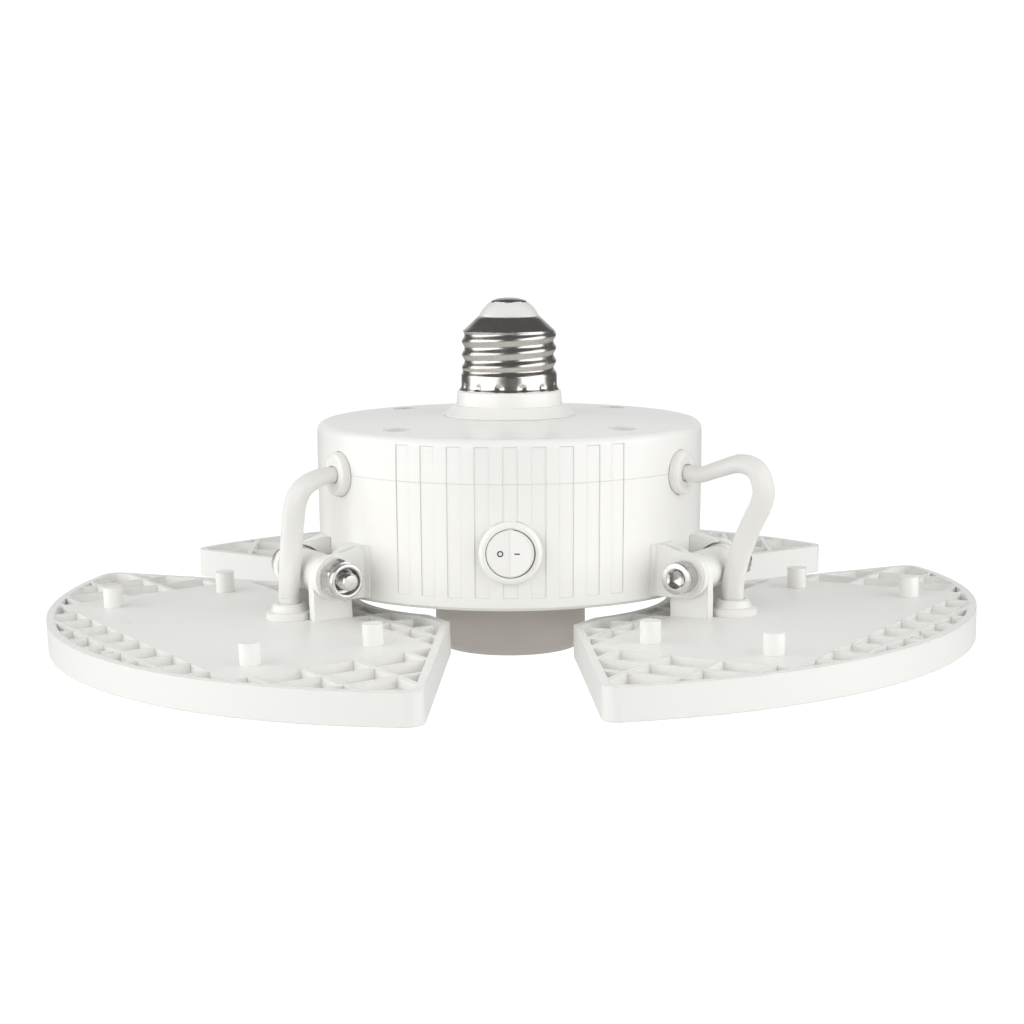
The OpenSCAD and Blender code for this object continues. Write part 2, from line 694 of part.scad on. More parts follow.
module panel_housing(i) {
    color("white") on_panel(i) difference() {
        union() {
            difference() {
                translate([0, 0, -panel_t]) linear_extrude(panel_t) panel_plan(0);
                translate([0, 0, -pocket]) linear_extrude(pocket + 1) difference() {
                    panel_plan(rim_t);
                    lattice();
                }
                translate([0, 0, -panel_t - 1]) linear_extrude(panel_t + 1 - pocket - web)
                    panel_plan(rim_t);
            }
            for (p = studs, s = [-1, 1]) translate([p[0], s * p[1], -0.5])
                cylinder(d = stud_dia, h = stud_h + 0.5);
            translate([panel_r - 6.4, (front[i] == 0 ? -1 : front[i]) * rib_pitch / 2, -pocket - 0.5])
                cylinder(r = 1.6, h = pocket - 0.1);
            knuckle();
        }
        translate([hinge_r, 0, hinge_z - panel_z]) rotate([90, 0, 0])
            cylinder(r = bolt_r + run, h = 3 * grip, center = true);
        translate([grommet_u, 0, -pocket - web - 1]) cylinder(r = grommet_neck + fit, h = 10);
    }
}

// Two cheeks that stand on the panel, joined by the barrel that the bolt runs through
module knuckle() {
    h = hinge_z - panel_z;
    for (s = [0, 1]) mirror([0, s, 0]) translate([hinge_r, cheek_out, 0]) rotate([90, 0, 0])
        linear_extrude(cheek_t) {
            translate([-knuckle_r, -1]) square([2 * knuckle_r, h + 1]);
            translate([0, h]) circle(r = knuckle_r);
        }
    translate([hinge_r, 0, h]) rotate([90, 0, 0])
        cylinder(r = knuckle_r - 0.15, h = 2 * (cheek_out - 1), center = true);
}

module panel_board(i) {
    color("lightgray") on_panel(i) translate([0, 0, -pocket - web - board_t]) linear_extrude(board_t)
        difference() {
            panel_plan(rim_t + 0.3);
            translate([grommet_u, 0]) circle(r = grommet_neck);
        }
}

module panel_leds(i) {
    top = -pocket - web - board_t;
    color("khaki") on_panel(i) for (m = [0 : 4], k = [-5 : 5]) {
        u = 57 + m * led_pitch[0] + (abs(k) > 3 ? 6 : 0);
        v = k * led_pitch[1];
        inside = abs(v) < 20 + (u - 38.3) * 1.3 && norm([u, v]) < panel_r - 7
            && norm([u, v]) > scoop_r + 7 && norm([u - grommet_u, v]) > 8;
        if (inside) translate([u - 1.4, v - 1.75, top - led_h]) cube([2.8, 3.5, led_h]);
    }
}

module panel_diffuser(i) {
    depth = panel_t - pocket - web - board_t;
    color("snow") on_panel(i) translate([0, 0, -panel_t + 0.2]) difference() {
        linear_extrude(depth - 0.2) panel_plan(rim_t + fit);
        translate([0, 0, lens_t]) linear_extrude(depth) panel_plan(rim_t + 1.3);
    }
}

contact();
insulator();
screw_shell();
collar();
upper_shell();
lower_shell();
case_screws();
driver_board();
transformer();
capacitors();
board_screws();
switch_bezel();
switch_body();
switch_rocker();
centre_base();
centre_board();
centre_leds();
centre_cup();
glands();
hinge_bolts();
hinge_nuts();
panel_housing(0);  // housing_left
panel_board(0);  // board_left
panel_leds(0);  // leds_left
panel_diffuser(0);  // diffuser_left
grommet(0);  // grommet_left
panel_housing(1);  // housing_right
panel_board(1);  // board_right
panel_leds(1);  // leds_right
panel_diffuser(1);  // diffuser_right
grommet(1);  // grommet_right
panel_housing(2);  // housing_rear
panel_board(2);  // board_rear
panel_leds(2);  // leds_rear
panel_diffuser(2);  // diffuser_rear
grommet(2);  // grommet_rear
lead(0);  // lead_left
lead(1);  // lead_right
lead(2);  // lead_rear
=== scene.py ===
import math

import bmesh
import bpy
from mathutils import Matrix, Vector


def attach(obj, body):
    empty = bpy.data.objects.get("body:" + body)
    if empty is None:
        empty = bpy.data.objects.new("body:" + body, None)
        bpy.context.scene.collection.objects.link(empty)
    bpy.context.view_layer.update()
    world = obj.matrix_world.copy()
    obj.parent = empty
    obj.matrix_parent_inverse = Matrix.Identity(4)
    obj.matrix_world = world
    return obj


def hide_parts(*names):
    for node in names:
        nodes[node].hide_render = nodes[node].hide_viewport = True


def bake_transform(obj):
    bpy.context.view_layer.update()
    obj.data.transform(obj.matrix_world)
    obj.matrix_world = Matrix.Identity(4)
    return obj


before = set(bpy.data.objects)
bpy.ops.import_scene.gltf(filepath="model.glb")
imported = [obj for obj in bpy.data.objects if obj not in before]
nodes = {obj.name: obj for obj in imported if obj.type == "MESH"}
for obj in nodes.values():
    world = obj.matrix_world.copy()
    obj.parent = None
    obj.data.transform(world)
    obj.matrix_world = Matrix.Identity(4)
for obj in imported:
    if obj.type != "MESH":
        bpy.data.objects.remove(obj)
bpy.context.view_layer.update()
MM = 0.001
SEAT = 53.2  # from the drum's underside up to the screw shell's rim, where z = 0


# ---------------------------------------------------------------- camera, light and floor
# The camera stands 0.66 m in front of the lamp's axis, 57 mm above the shell's rim, and looks
# 8 degrees down. Softboxes stand left and right of it and hang above the lamp in a white
# studio, and a pale floor lies well under the lamp, which its screw base holds from above.
bpy.context.scene.view_settings.view_transform = "Standard"

camera_data = bpy.data.cameras.new("camera")
camera_data.sensor_width = 36.0
camera_data.lens = 83.276
camera_data.shift_y = 0.00145
camera_data.clip_start = 0.01
camera = bpy.data.objects.new("camera", camera_data)
bpy.context.scene.collection.objects.link(camera)
camera.matrix_world = (
    Matrix.Translation((-0.00102, -0.65706, 0.05737))
    @ Matrix.Rotation(math.radians(-0.14), 4, "Z")
    @ Matrix.Rotation(math.radians(90 - 7.996), 4, "X")
    @ Matrix.Rotation(math.radians(-0.303), 4, "Z")
)
bpy.context.scene.camera = camera


def add(tree, kind, values, **settings):
    """A node of this kind in the tree, with its inputs set or linked"""
    made = tree.nodes.new(kind)
    for key, value in settings.items():
        setattr(made, key, value)
    for key, value in values.items():
        if isinstance(value, bpy.types.NodeSocket):
            tree.links.new(value, made.inputs[key])
        else:
            made.inputs[key].default_value = value
    return made


world = bpy.data.worlds.new("studio")
bpy.context.scene.world = world
world.use_nodes = True
sky = world.node_tree
sky.nodes.clear()
path = add(sky, "ShaderNodeLightPath", {})
seen = add(sky, "ShaderNodeBackground", {"Color": (1, 1, 1, 1), "Strength": 1.05})
fill = add(sky, "ShaderNodeBackground", {"Color": (0.99, 0.995, 1, 1), "Strength": 0.45})
# Glossy pieces mirror a dim room that brightens behind the lamp, so the metal keeps its contrast.
heading = add(sky, "ShaderNodeTexCoord", {})
behind = add(sky, "ShaderNodeVectorMath", {0: heading.outputs["Generated"], 1: (0, 0.98, 0.2)},
             operation="DOT_PRODUCT")
horizon = add(sky, "ShaderNodeMapRange",
              {"Value": behind.outputs["Value"], "From Min": 0.86, "From Max": 0.99,
               "To Min": 0.11, "To Max": 0.8})
dark = add(sky, "ShaderNodeBackground", {"Color": (1, 1, 1, 1), "Strength": horizon.outputs["Result"]})
mirrored = add(sky, "ShaderNodeMixShader",
               {0: path.outputs["Is Glossy Ray"], 1: fill.outputs[0], 2: dark.outputs[0]})
chosen = add(sky, "ShaderNodeMixShader",
             {0: path.outputs["Is Camera Ray"], 1: mirrored.outputs[0], 2: seen.outputs[0]})
add(sky, "ShaderNodeOutputWorld", {"Surface": chosen.outputs[0]})


def softbox(name, turn, rise, distance, size, power, mirrored=True):
    """An area light, turned from the camera's side, raised, and aimed at the lamp"""
    a, e = math.radians(turn), math.radians(rise)
    place = Vector((math.sin(a) * math.cos(e), -math.cos(a) * math.cos(e), math.sin(e))) * distance
    lamp = bpy.data.lights.new(name, "AREA")
    lamp.shape = "RECTANGLE"
    lamp.size, lamp.size_y = size
    lamp.energy = power
    lamp_object = bpy.data.objects.new(name, lamp)
    bpy.context.scene.collection.objects.link(lamp_object)
    lamp_object.location = place + Vector((0, 0, -0.03))
    lamp_object.rotation_euler = (-place).to_track_quat("-Z", "Y").to_euler()
    lamp_object.visible_camera = False
    lamp_object.visible_glossy = mirrored


softbox("softbox_left", -67, 14, 1.0, (1.9, 1.0), 10.6)
softbox("softbox_right", 62, 14, 1.0, (1.4, 1.0), 8)
softbox("softbox_above", 180, 75, 1.2, (1.6, 1.6), 2.7, mirrored=False)

FLOOR_Z = -0.9
FLOOR_R = 6
bm = bmesh.new()
bmesh.ops.create_circle(bm, cap_ends=True, segments=64, radius=FLOOR_R)
bmesh.ops.translate(bm, verts=bm.verts, vec=(0, 0, FLOOR_Z))
floor_mesh = bpy.data.meshes.new("floor")
bm.to_mesh(floor_mesh)
bm.free()
floor = bpy.data.objects.new("floor", floor_mesh)
bpy.context.scene.collection.objects.link(floor)
pale = bpy.data.materials.new("pale_floor")
pale.use_nodes = True
pale_shader = pale.node_tree.nodes["Principled BSDF"]
pale_shader.inputs["Base Color"].default_value = (0.4, 0.4, 0.4, 1)
pale_shader.inputs["Roughness"].default_value = 0.9
pale_shader.inputs["Emission Color"].default_value = (1, 1, 1, 1)
path = add(pale.node_tree, "ShaderNodeLightPath", {})
glow = add(pale.node_tree, "ShaderNodeMapRange",
           {"Value": path.outputs["Is Camera Ray"], "To Min": 0.25, "To Max": 1.0})
pale.node_tree.links.new(glow.outputs["Result"], pale_shader.inputs["Emission Strength"])
floor_mesh.materials.append(pale)


# ------------------------------------------------------------------------ panel leads
# A flat two-core lead in soft white PVC feeds each panel. It leaves the gland in the
# drum's wall, bends over beside the hinge and enters the panel's grommet, so it is held
# at both ends. Its route is turned with the panel's tilt, the more the nearer it lies to the panel.
HINGE_R = 60.6
HINGE_Z = 7.2
GLAND_Z = 33.1
TILT_TOP = GLAND_Z - 6  # a route turns with its panel below this height
LEAD_W = 6.0
LEAD_T = 4.0
LEAD_POINTS = 32
# Heading of each hinge and tilt of its panel, in degrees
stations = {"left": (-150, -2.2), "right": (-30, 0.3), "rear": (90, 1.3)}
# Points outward of the hinge's axis, along it and above the underside, in mm, and the twist
lead_routes = {
    "left": [
        (-10.6, 1.3, 33.1, 0), (-5.4, 1.3, 33.1, 0), (-2.8, 1.3, 32.9, -5), (0, 1.3, 32.1, -15),
        (3.4, 1.2, 30.2, -30), (5.4, 0.9, 26.9, -45), (6, 0.6, 22.6, -60), (6.7, 1, 18, -60),
        (7.8, 2.2, 13, -50), (8.4, 2.6, 8.6, -40), (8.4, 1.8, 5, -30), (7.9, 0.3, 2, -30),
        (7.8, 0, 0.5, -30), (7.8, 0, -3.4, -30),
    ],
    "right": [
        (-10.6, -1.3, 33.1, 0), (-5.2, -1.3, 33.1, 0), (-1.1, -1.4, 32.8, 8), (4.3, -1.5, 34.6, 15),
        (10.5, -1.5, 36.4, 25), (15.1, -1.4, 34.8, 35), (17, -1.3, 30.1, 45), (16.4, -1.1, 26, 55),
        (14.2, -0.8, 21.6, 60), (11.4, -0.4, 15.8, 60), (9.2, -0.1, 9.6, 60),
        (8, 0, 4.6, 60), (7.8, 0, 0.5, 60), (7.8, 0, -3.4, 60),
    ],
    "rear": [
        (-10.6, 0, 33.1, 0), (-3.6, 0, 33.1, 0), (0.8, 0, 33.6, 0), (5.8, 0, 34.8, 0),
        (10.8, 0, 35, 0), (14.4, 0, 32.6, 0), (15.4, 0, 28, 0), (14.2, 0, 22.4, 0),
        (11.6, 0, 16.2, 0), (9.2, 0, 9.8, 0), (8, 0, 4.6, 0), (7.8, 0, 0.5, 0),
        (7.8, 0, -3.4, 0),
    ],
}


def from_station(side, point):
    """Where a point lies that is given outward, along the hinge and up, in mm"""
    turn = Matrix.Rotation(math.radians(stations[side][0]), 3, "Z")
    return (turn @ Vector(point) - Vector((0, 0, SEAT))) * MM


def tilted(side, knot):
    """A route point, turned with the panel the more, the nearer it is to the panel"""
    share = min(max((TILT_TOP - knot[2]) / (TILT_TOP - HINGE_Z), 0), 1)
    a = math.radians(stations[side][1]) * share
    x, z = knot[0], knot[2] - HINGE_Z
    return Vector((HINGE_R + x * math.cos(a) - z * math.sin(a), knot[1],
                   HINGE_Z + x * math.sin(a) + z * math.cos(a), knot[3]))


def smooth_line(knots, steps):
    """Points on the Catmull-Rom curve through the knots"""
    line = []
    for k in range(len(knots) - 1):
        p0, p1, p2, p3 = (knots[min(max(k + j, 0), len(knots) - 1)] for j in (-1, 0, 1, 2))
        for step in range(steps):
            t = step / steps
            line.append(0.5 * (2 * p1 + (p2 - p0) * t + (2 * p0 - 5 * p1 + 4 * p2 - p3) * t * t
                               + (3 * p1 - p0 - 3 * p2 + p3) * t ** 3))
    return line + [knots[-1]]


def loft(loops, closed=False):
    """A skin through loops of equally many points: capped, or closed back to the first"""
    skin = bmesh.new()
    ring = bmesh.ops.create_circle(skin, segments=len(loops[0]), radius=1)["verts"]
    edges = first = list(skin.edges)
    for vert, point in zip(ring, loops[0]):
        vert.co = point
    for loop in loops[1:]:
        grown = bmesh.ops.extrude_edge_only(skin, edges=edges)["geom"]
        new = {part for part in grown if isinstance(part, bmesh.types.BMVert)}
        edges = [part for part in grown
                 if isinstance(part, bmesh.types.BMEdge) and set(part.verts) <= new]
        ring = [next(e.other_vert(v) for e in v.link_edges if e.other_vert(v) in new) for v in ring]
        for vert, point in zip(ring, loop):
            vert.co = point
    if closed:
        bmesh.ops.bridge_loops(skin, edges=first + edges)
    else:
        bmesh.ops.holes_fill(skin, edges=first + edges, sides=0)
    return skin


def as_piece(skin, name, material, sharp=35):
    """The finished mesh as an object, smooth but for its edges over the sharp angle"""
    bmesh.ops.recalc_face_normals(skin, faces=skin.faces)
    for face in skin.faces:
        face.smooth = True
    for edge in skin.edges:
        if len(edge.link_faces) == 2 and edge.calc_face_angle() > math.radians(sharp):
            edge.smooth = False
    mesh = bpy.data.meshes.new(name)
    skin.to_mesh(mesh)
    skin.free()
    mesh.materials.append(material)
    piece = bpy.data.objects.new(name, mesh)
    bpy.context.scene.collection.objects.link(piece)
    return piece


def effect(name, inputs, outputs):
    """An empty shader node group with these named sockets, and its two end nodes"""
    group = bpy.data.node_groups.new(name, "ShaderNodeTree")
    for direction, sockets in (("INPUT", inputs), ("OUTPUT", outputs)):
        for socket, kind in sockets:
            group.interface.new_socket(socket, in_out=direction, socket_type=f"NodeSocket{kind}")
    return group, group.nodes.new("NodeGroupInput").outputs, group.nodes.new("NodeGroupOutput").inputs


# Moulded plastic: a fine spark-eroded grain, soft edges, and slight mottling of tone and
# gloss, as the resin flowed and cooled.
moulded_skin, given, made = effect(
    "moulded_skin",
    (("Resin", "Color"), ("Roughness", "Float"), ("Grain Size", "Float"), ("Grain Depth", "Float"),
     ("Edge Radius", "Float")),
    (("Colour", "Color"), ("Roughness", "Float"), ("Normal", "Vector")),
)
coords = add(moulded_skin, "ShaderNodeTexCoord", {})
edge_round = add(moulded_skin, "ShaderNodeBevel", {"Radius": given["Edge Radius"]}, samples=4)
grain = add(moulded_skin, "ShaderNodeTexNoise",
            {"Vector": coords.outputs["Object"], "Scale": given["Grain Size"], "Detail": 3.0,
             "Roughness": 0.6})
relief = add(moulded_skin, "ShaderNodeBump",
             {"Strength": 1.0, "Distance": given["Grain Depth"], "Height": grain.outputs["Fac"],
              "Normal": edge_round.outputs["Normal"]})
flow = add(moulded_skin, "ShaderNodeTexNoise",
           {"Vector": coords.outputs["Object"], "Scale": 42.0, "Detail": 2.0})
tone = add(moulded_skin, "ShaderNodeMapRange",
           {"Value": flow.outputs["Fac"], "From Min": 0.1, "From Max": 0.9,
            "To Min": 0.988, "To Max": 1.0})
tinted = add(moulded_skin, "ShaderNodeVectorMath",
             {0: given["Resin"], "Scale": tone.outputs["Result"]}, operation="SCALE")
mottle = add(moulded_skin, "ShaderNodeTexNoise",
             {"Vector": coords.outputs["Object"], "Scale": 240.0, "Detail": 2.0})
sheen = add(moulded_skin, "ShaderNodeMapRange",
            {"Value": mottle.outputs["Fac"], "From Min": 0.1, "From Max": 0.9,
             "To Min": -0.006, "To Max": 0.006})
polish = add(moulded_skin, "ShaderNodeMath", {0: given["Roughness"], 1: sheen.outputs["Result"]},
             operation="ADD")
for socket, source in (("Colour", tinted.outputs["Vector"]), ("Roughness", polish.outputs[0]),
                       ("Normal", relief.outputs["Normal"])):
    moulded_skin.links.new(source, made[socket])


def finish(name, group, values, shader_values):
    """A material whose shader takes its colour, roughness and normal from a group"""
    material = bpy.data.materials.new(name)
    material.use_nodes = True
    tree = material.node_tree
    shader = tree.nodes["Principled BSDF"]
    skin = tree.nodes.new("ShaderNodeGroup")
    skin.node_tree = group
    for key, value in values.items():
        skin.inputs[key].default_value = value
    for key, value in shader_values.items():
        shader.inputs[key].default_value = value
    tree.links.new(skin.outputs["Colour"], shader.inputs["Base Color"])
    tree.links.new(skin.outputs["Roughness"], shader.inputs["Roughness"])
    tree.links.new(skin.outputs["Normal"], shader.inputs["Normal"])
    return material


def moulded(name, resin, roughness, grain_size=2600.0, grain_depth=0.000004, edge=0.0003,
            **shader_values):
    """Moulded plastic of this colour and gloss"""
    return finish(name, moulded_skin,
                  {"Resin": (*resin, 1), "Roughness": roughness, "Grain Size": grain_size,
                   "Grain Depth": grain_depth, "Edge Radius": edge},
                  {key.replace("_", " "): value for key, value in shader_values.items()})


soft_pvc = moulded("soft_pvc", (0.79, 0.782, 0.75), 0.4, 1500.0, 0.000006, 0.0001)

for side in stations:
    line = smooth_line([tilted(side, knot) for knot in lead_routes[side]], 6)
    loops = []
    for k, point in enumerate(line):
        ahead = (line[min(k + 1, len(line) - 1)] - line[max(k - 1, 0)]).xyz.normalized()
        wide = Vector((0, -1, 0))
        wide = (wide - ahead * wide.dot(ahead)).normalized()
        flat = ahead.cross(wide)
        c, s = math.cos(math.radians(point.w)), math.sin(math.radians(point.w))
        loop = []
        for j in range(LEAD_POINTS):
            a = math.tau * (j + 0.5) / LEAD_POINTS
            q = (LEAD_W - LEAD_T) / 2 * (1 if math.sin(a) > 0 else -1) + LEAD_T / 2 * math.sin(a)
            h = LEAD_T / 2 * math.cos(a)
            loop.append(from_station(side, point.xyz + wide * (q * c - h * s) + flat * (q * s + h * c)))
        loops.append(loop)
    lead = as_piece(loft(loops), f"panel_lead_{side}", soft_pvc, 60)
    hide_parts(f"lead_{side}")
    v = lead_routes[side][0][1]
    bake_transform(lead)


# ------------------------------------------------------------------------- screw base
# The base is an E26 screw cap: a nickel-plated shell, rolled with its thread and staked to
# the collar by a row of dimples, a glazed white insulator and a lens-shaped contact.
def dress(material, *names):
    """Gives these CAD nodes their finish"""
    for name in names:
        for place in nodes[name].material_slots:
            place.material = material


# Plated or machined metal: fine turning marks round the axis, faint smudges in the gloss.
worn_plating, given, made = effect(
    "worn_plating",
    (("Metal", "Color"), ("Roughness", "Float"), ("Mark Depth", "Float"), ("Edge Radius", "Float")),
    (("Colour", "Color"), ("Roughness", "Float"), ("Normal", "Vector")),
)
coords = add(worn_plating, "ShaderNodeTexCoord", {})
along = add(worn_plating, "ShaderNodeMapping",
            {"Vector": coords.outputs["Object"], "Scale": (90.0, 90.0, 3200.0)})
marks = add(worn_plating, "ShaderNodeTexNoise", {"Vector": along.outputs[0], "Scale": 1.0, "Detail": 3.0})
edge_round = add(worn_plating, "ShaderNodeBevel", {"Radius": given["Edge Radius"]}, samples=4)
relief = add(worn_plating, "ShaderNodeBump",
             {"Strength": 1.0, "Distance": given["Mark Depth"], "Height": marks.outputs["Fac"],
              "Normal": edge_round.outputs["Normal"]})
smudge = add(worn_plating, "ShaderNodeTexNoise",
             {"Vector": coords.outputs["Object"], "Scale": 320.0, "Detail": 4.0})
haze = add(worn_plating, "ShaderNodeMapRange",
           {"Value": smudge.outputs["Fac"], "From Min": 0.4, "From Max": 0.75,
            "To Min": 0.0, "To Max": 0.12})
polish = add(worn_plating, "ShaderNodeMath", {0: given["Roughness"], 1: haze.outputs["Result"]},
             operation="ADD")
tone = add(worn_plating, "ShaderNodeMapRange",
           {"Value": smudge.outputs["Fac"], "From Min": 0.3, "From Max": 0.8,
            "To Min": 1.0, "To Max": 0.9})
tinted = add(worn_plating, "ShaderNodeVectorMath",
             {0: given["Metal"], "Scale": tone.outputs["Result"]}, operation="SCALE")
for socket, source in (("Colour", tinted.outputs["Vector"]), ("Roughness", polish.outputs[0]),
                       ("Normal", relief.outputs["Normal"])):
    worn_plating.links.new(source, made[socket])


def plated(name, metal, roughness, depth=0.000002, edge=0.00005):
    """Bright metal of this colour and polish"""
    return finish(name, worn_plating,
                  {"Metal": (*metal, 1), "Roughness": roughness, "Mark Depth": depth, "Edge Radius": edge},
                  {"Metallic": 1.0})


nickel = plated("bright_nickel", (0.66, 0.635, 0.60), 0.2)
tinned = plated("tinned_contact", (0.55, 0.53, 0.50), 0.22)

THREAD_PITCH = 25.4 / 7
THREAD_MID = 12.72
THREAD_AMP = 0.38
THREAD_CREST = 59.3 - SEAT  # height of a crest on the shell's left side
SKIRT_R = 13.27
SHELL_TOP = 20.3
SHELL_SHEET = 0.35
DIMPLES = 13
DIMPLE_FIRST = 258  # heading of the first dimple, in degrees
DIMPLE_DEPTH = 0.5
DIMPLE_Z = 1.0
bm = bmesh.new()
profile = [(13.85, 0), (13.8, 0.18), (13.5, 0.55), (13.32, 1.0), (SKIRT_R, 1.5)]
profile += [(SKIRT_R, 1.5 + 0.3 * k) for k in range(1, 9)]
profile += [(THREAD_MID + 0.55 * (1 - min(k, 6) / 6), 4.2 + 0.22 * k) for k in range(56)]
profile += [(12.55, 16.5), (12.1, 16.9), (11.2, 17.75), (10.2, 18.7), (9.2, 19.65), (8.55, 20.26),
            (8.35, SHELL_TOP), (7.6, SHELL_TOP)]
verts = [bm.verts.new((r * MM, 0, z * MM)) for r, z in profile]
edges = [bm.edges.new(pair) for pair in zip(verts, verts[1:])]
bmesh.ops.spin(bm, geom=verts + edges, cent=(0, 0, 0), axis=(0, 0, 1), angle=math.tau, steps=208,
               use_merge=True)
# The wall is pushed in and out along the thread's helix, which fades at both its ends, and
# in at each dimple
for vert in bm.verts:
    az = math.atan2(vert.co.y, vert.co.x)
    z = vert.co.z / MM
    crest = THREAD_CREST + THREAD_PITCH * (math.degrees(az) % 360 - 180) / 360
    fade = min(max((z - 4.4) / 1.4, 0), 1) * min(max((16.7 - z) / 0.8, 0), 1)
    push = THREAD_AMP * math.cos(math.tau * (z - crest) / THREAD_PITCH) * fade
    for k in range(DIMPLES):
        swing = (az - math.radians(DIMPLE_FIRST + 360 / DIMPLES * k) + math.pi) % math.tau - math.pi
        push -= DIMPLE_DEPTH * math.exp(-((swing * 13.4) ** 2 + (z - DIMPLE_Z) ** 2) / 0.55)
    r = math.hypot(vert.co.x, vert.co.y)
    vert.co.x *= (r + push * MM) / r
    vert.co.y *= (r + push * MM) / r
shell = as_piece(bm, "rolled_screw_shell", nickel, 50)
wall = shell.modifiers.new("sheet", "SOLIDIFY")
wall.thickness = SHELL_SHEET * MM
wall.offset = -1
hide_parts("screw_shell")
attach(shell, "drum")

bm = bmesh.new()
profile = [(0, 25.4), (1.6, 25.34), (3.0, 25.16), (4.2, 24.82), (4.8, 24.5), (4.95, 24.25),
           (4.9, 24.05), (0, 24.05)]
verts = [bm.verts.new((r * MM, 0, z * MM)) for r, z in profile]
edges = [bm.edges.new(pair) for pair in zip(verts, verts[1:])]
bmesh.ops.spin(bm, geom=verts + edges, cent=(0, 0, 0), axis=(0, 0, 1), angle=math.tau, steps=72,
               use_merge=True)
bmesh.ops.remove_doubles(bm, verts=bm.verts, dist=0.00001)
button = as_piece(bm, "centre_contact", tinned, 50)
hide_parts("contact")
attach(button, "drum")

glaze = moulded("glazed_insulator", (0.8, 0.795, 0.775), 0.16, 900.0, 0.000003, 0.0004,
                Coat_Weight=0.5, Coat_Roughness=0.05)
dress(glaze, "insulator")


# ------------------------------------------------------------------------ drum housing
# Two shells moulded in white ABS meet at a fine parting line and are held by four case
# screws in deep bores. Shallow flutes run down the wall in three fans, between the hinges.
white_abs = moulded("white_abs", (0.885, 0.878, 0.848), 0.26, 3000.0, 0.000002, 0.0003)
zinc_screw = plated("zinc_screw", (0.62, 0.62, 0.6), 0.28, 0.000004, 0.0001)
dress(white_abs, "upper_shell", "lower_shell", "collar")
dress(zinc_screw, "case_screws", "board_screws")


# ---------------------------------------------------------------------- driver inside
# The driver is a round glass-epoxy board on four standoffs, with a taped transformer,
# electrolytic and film capacitors. Nothing of it shows while the drum is closed.
printed_board, given, made = effect(
    "printed_board", (("Mask", "Color"), ("Copper", "Color"), ("Scale", "Float")),
    (("Colour", "Color"), ("Roughness", "Float"), ("Normal", "Vector")),
)
coords = add(printed_board, "ShaderNodeTexCoord", {})
traces = add(printed_board, "ShaderNodeTexBrick",
             {"Vector": coords.outputs["Object"], "Scale": given["Scale"], "Color1": (1, 1, 1, 1),
              "Color2": (0.75, 0.75, 0.75, 1), "Mortar": (0, 0, 0, 1), "Mortar Size": 0.03})
coat = add(printed_board, "ShaderNodeTexNoise", {"Vector": coords.outputs["Object"], "Scale": 500.0})
# A mix node has its two colours at inputs 6 and 7 and their mixture at output 2
printed = add(printed_board, "ShaderNodeMix",
              {0: traces.outputs["Fac"], 6: given["Mask"], 7: given["Copper"]}, data_type="RGBA")
shine = add(printed_board, "ShaderNodeMapRange",
            {"Value": coat.outputs["Fac"], "To Min": 0.3, "To Max": 0.45})
relief = add(printed_board, "ShaderNodeBump", {"Distance": 0.00003, "Height": traces.outputs["Fac"]})
for socket, source in (("Colour", printed.outputs[2]), ("Roughness", shine.outputs["Result"]),
                       ("Normal", relief.outputs["Normal"])):
    printed_board.links.new(source, made[socket])


def laminate(name, mask, copper, scale):
    """A printed board under a solder mask of this colour"""
    return finish(name, printed_board, {"Mask": (*mask, 1), "Copper": (*copper, 1), "Scale": scale}, {})


green_board = laminate("green_board", (0.06, 0.22, 0.09), (0.16, 0.36, 0.16), 160.0)
white_board = laminate("white_board", (0.85, 0.86, 0.86), (0.72, 0.74, 0.75), 120.0)
yellow_tape = moulded("yellow_tape", (0.82, 0.6, 0.08), 0.35, 700.0, 0.00001)
black_sleeve = moulded("black_sleeve", (0.02, 0.02, 0.022), 0.3, 1200.0, 0.000005)
dress(green_board, "driver_board")
dress(yellow_tape, "transformer")
dress(black_sleeve, "capacitors", "switch_body")


# -------------------------------------------------------------------------- switch
# A round rocker switch snaps into the wall. Its rocker is pressed in on the left and
# carries the two usual signs, pad-printed in dark grey: a ring and a dash. A small pad on
# the bezel sits over the rocker's pivot.
switch_white = moulded("switch_white", (0.885, 0.878, 0.848), 0.26, 3600.0, 0.000002, 0.0003)
rocker_white = moulded("rocker_white", (0.885, 0.878, 0.848), 0.3, 3600.0, 0.000002, 0.0008)
dress(switch_white, "switch_bezel")
dress(rocker_white, "switch_rocker")
pad_ink = moulded("pad_ink", (0.06, 0.06, 0.065), 0.5, 4000.0, 0.000002, 0.00001)

PIVOT_Y = -53.9
SWITCH_Z = 15.5
ROCKER_PROUD = 1.25  # from the pivot's axis out to the middle of the face
PAD = (1.6, 1.5, 0.5)
PAD_OUT = 0.55
PAD_UP = 6.45
pivot = bmesh.new()
bmesh.ops.create_cube(pivot, size=1)
bmesh.ops.scale(pivot, verts=pivot.verts, vec=[length * MM for length in PAD])
bmesh.ops.bevel(pivot, geom=pivot.edges, offset=0.09 * MM, segments=3, affect="EDGES", profile=0.5,
                material=-1)
bmesh.ops.translate(pivot, verts=pivot.verts,
                    vec=(0, (PIVOT_Y - PAD_OUT) * MM, (SWITCH_Z - SEAT + PAD_UP) * MM))
pivot_pad = as_piece(pivot, "pivot_pad", switch_white)
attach(pivot_pad, "drum")


def on_rocker(x, z, lean, lift):
    """A point on a half of the rocker's face, which leans by this angle about the pivot"""
    a = math.radians(lean)
    depth = (ROCKER_PROUD - x * math.sin(a)) / math.cos(a)
    return Vector((x + lift * math.sin(a), PIVOT_Y - depth - lift * math.cos(a), SWITCH_Z - SEAT + z)) * MM


